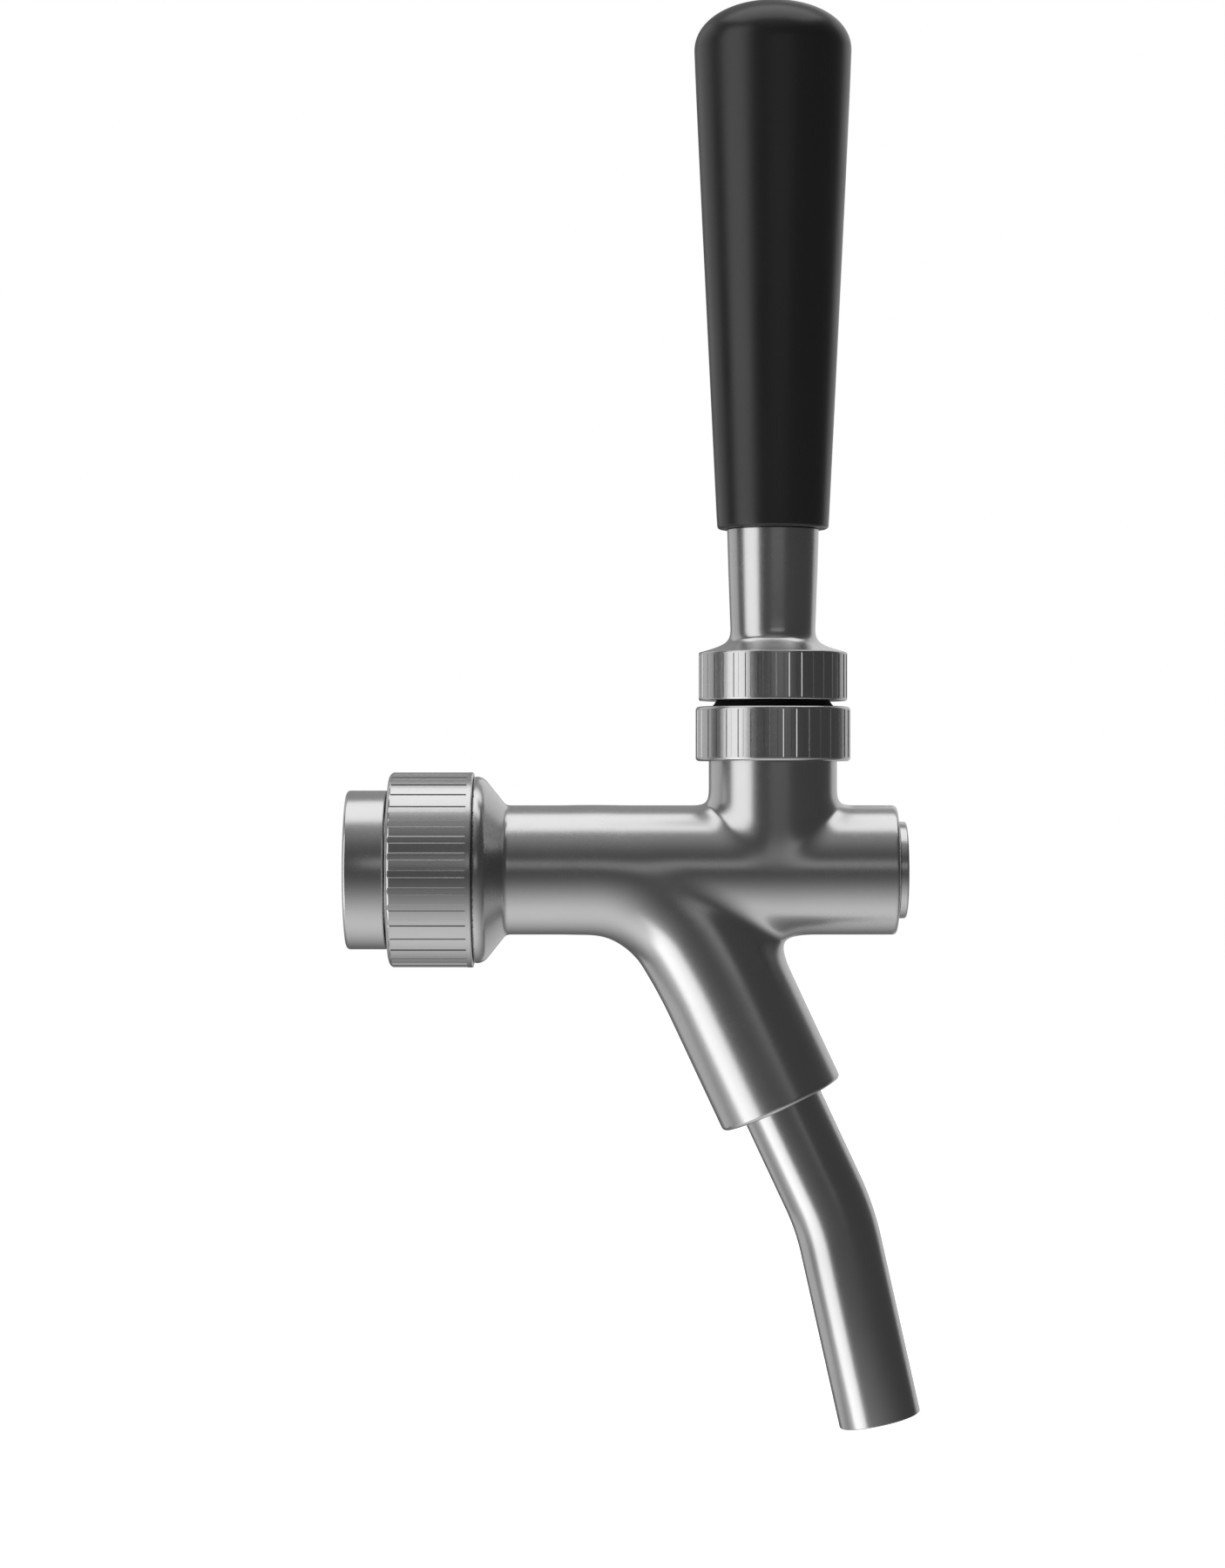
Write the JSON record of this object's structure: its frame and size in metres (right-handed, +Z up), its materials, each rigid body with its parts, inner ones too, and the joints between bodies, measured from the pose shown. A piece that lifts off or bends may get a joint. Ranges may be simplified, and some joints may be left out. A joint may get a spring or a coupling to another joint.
{
  "type": "beer tap",
  "caption": "Stainless beer tap with a forward-tilting lever and black grip, knurled coupling and bonnet nuts, shaft valve and a bent spout tube, held by a short shank adapter.",
  "frame": {"origin": "centre of the shank adapter's rear face, on the barrel's axis", "axes": "+X forwards along the barrel, away from the wall or tower; +Z up towards the handle; +Y to the left of someone looking along +X"},
  "size_m": [0.1127, 0.0384, 0.2804],
  "materials": {
    "satin_steel": "satin, bead blasted stainless steel",
    "knurled_steel": "satin stainless steel with machined grip recesses",
    "tube_steel": "satin drawn stainless tube",
    "spring_steel": "plain spring steel",
    "brass": "machined brass",
    "grip_plastic": "black, semi-gloss moulded plastic",
    "black_rubber": "matte black rubber",
    "ptfe": "white low-friction plastic"
  },
  "bodies": {
    "tap": {"tap_body": "satin_steel", "shank_adapter": "satin_steel", "nut_retaining_ring": "spring_steel", "shank_gasket": "black_rubber", "bonnet_nut": "knurled_steel", "compression_ring": "brass", "friction_ring": "ptfe", "ball_seat": "black_rubber", "dust_boot": "black_rubber", "end_cap": "satin_steel", "end_cap_seal": "black_rubber", "spout_tube": "tube_steel", "spout_seal_upper": "black_rubber", "spout_seal_lower": "black_rubber"},
    "coupling": {"coupling_nut": "knurled_steel"},
    "lever": {"lever_shaft": "satin_steel", "lever_collar": "knurled_steel", "handle_grip": "grip_plastic", "handle_insert": "brass"},
    "valve": {"valve_shaft": "satin_steel", "seat_washer": "black_rubber", "washer_cup": "satin_steel", "shaft_nut": "satin_steel", "shaft_seal": "black_rubber"}
  },
  "joints": [
    {"name": "lever_tilt", "type": "hinge", "parent": "tap", "child": "lever", "pos_m": [0.08375, 0, 0.0157], "axis": [0, 1, 0], "range_deg": [0, 20], "deforming": ["dust_boot"]},
    {"name": "valve_slide", "type": "slide", "parent": "tap", "child": "valve", "axis": [1, 0, 0], "range_m": [-0.0056, 0]},
    {"name": "coupling_nut_spin", "type": "hinge", "parent": "tap", "child": "coupling", "pos_m": [0.0167, 0, 0], "axis": [1, 0, 0], "continuous": true}
  ],
  "couplings": [
    {"joint": "valve_slide", "follows": "lever_tilt", "m_per_rad": -0.01555}
  ]
}
